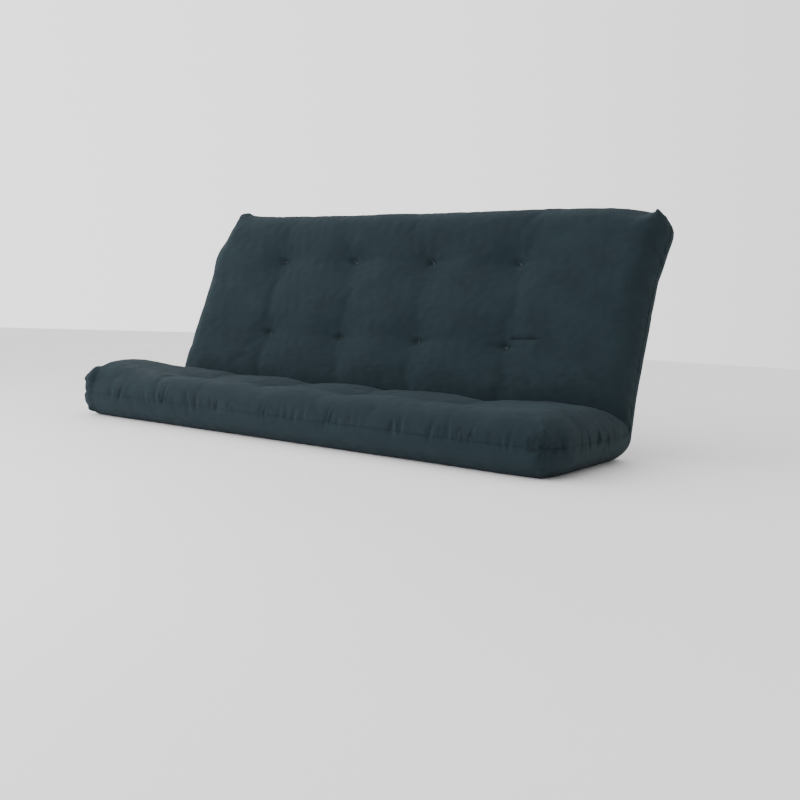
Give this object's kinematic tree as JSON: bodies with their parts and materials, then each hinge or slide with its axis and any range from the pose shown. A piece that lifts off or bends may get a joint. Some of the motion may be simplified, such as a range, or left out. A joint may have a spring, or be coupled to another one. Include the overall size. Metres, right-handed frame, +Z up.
{
  "type": "futon mattress",
  "caption": "Tufted futon mattress made up as a couch: a flat seat and a reclined back joined by a soft fold, with a dark twill cover over layered batting and foam.",
  "frame": {"origin": "middle of the couch's footprint, at the height of the seat's underside", "axes": "+X along the mattress's length to the sitter's left hand, +Y from the front edge of the seat to the back, +Z up"},
  "size_m": [1.9611, 0.9241, 0.8317],
  "materials": {
    "cover_twill": "matte",
    "seam_thread": "matte",
    "fibre_wrap": "matte",
    "cotton_batt": "matte",
    "foam": "matte",
    "tufting_twine": "satin",
    "label_cloth": "satin"
  },
  "bodies": {
    "seat": {"seat_top_cover": "cover_twill", "seat_bottom_cover": "cover_twill", "fold_bottom_cover": "cover_twill", "seat_perimeter_seam": "seam_thread", "seat_corner_seams": "seam_thread", "seat_upper_wrap": "fibre_wrap", "seat_upper_batt": "cotton_batt", "seat_upper_foam": "foam", "seat_middle_batt": "cotton_batt", "seat_lower_foam": "foam", "fold_lower_foam": "foam", "seat_lower_batt": "cotton_batt", "fold_lower_batt": "cotton_batt", "seat_lower_wrap": "fibre_wrap", "fold_lower_wrap": "fibre_wrap", "seat_front_tuft_ties": "tufting_twine", "seat_rear_tuft_ties": "tufting_twine", "seat_front_face_knots": "tufting_twine", "seat_rear_face_knots": "tufting_twine", "seat_front_underside_knots": "tufting_twine", "seat_rear_underside_knots": "tufting_twine", "care_label": "label_cloth"},
    "back": {"back_top_cover": "cover_twill", "back_bottom_cover": "cover_twill", "back_perimeter_seam": "seam_thread", "back_corner_seams": "seam_thread", "back_upper_wrap": "fibre_wrap", "back_upper_batt": "cotton_batt", "back_upper_foam": "foam", "back_middle_batt": "cotton_batt", "back_lower_foam": "foam", "back_lower_batt": "cotton_batt", "back_lower_wrap": "fibre_wrap", "back_lower_tuft_ties": "tufting_twine", "back_upper_tuft_ties": "tufting_twine", "back_lower_face_knots": "tufting_twine", "back_upper_face_knots": "tufting_twine", "back_lower_underside_knots": "tufting_twine", "back_upper_underside_knots": "tufting_twine", "closing_stitches": "seam_thread"}
  },
  "joints": [
    {"name": "fold", "type": "hinge", "parent": "seat", "child": "back", "pos_m": [0, 0.12993, 0.089], "axis": [-1, 0, 0], "range_deg": [0, 70], "deforming": ["fold_bottom_cover", "fold_lower_foam", "fold_lower_batt", "fold_lower_wrap"]}
  ]
}
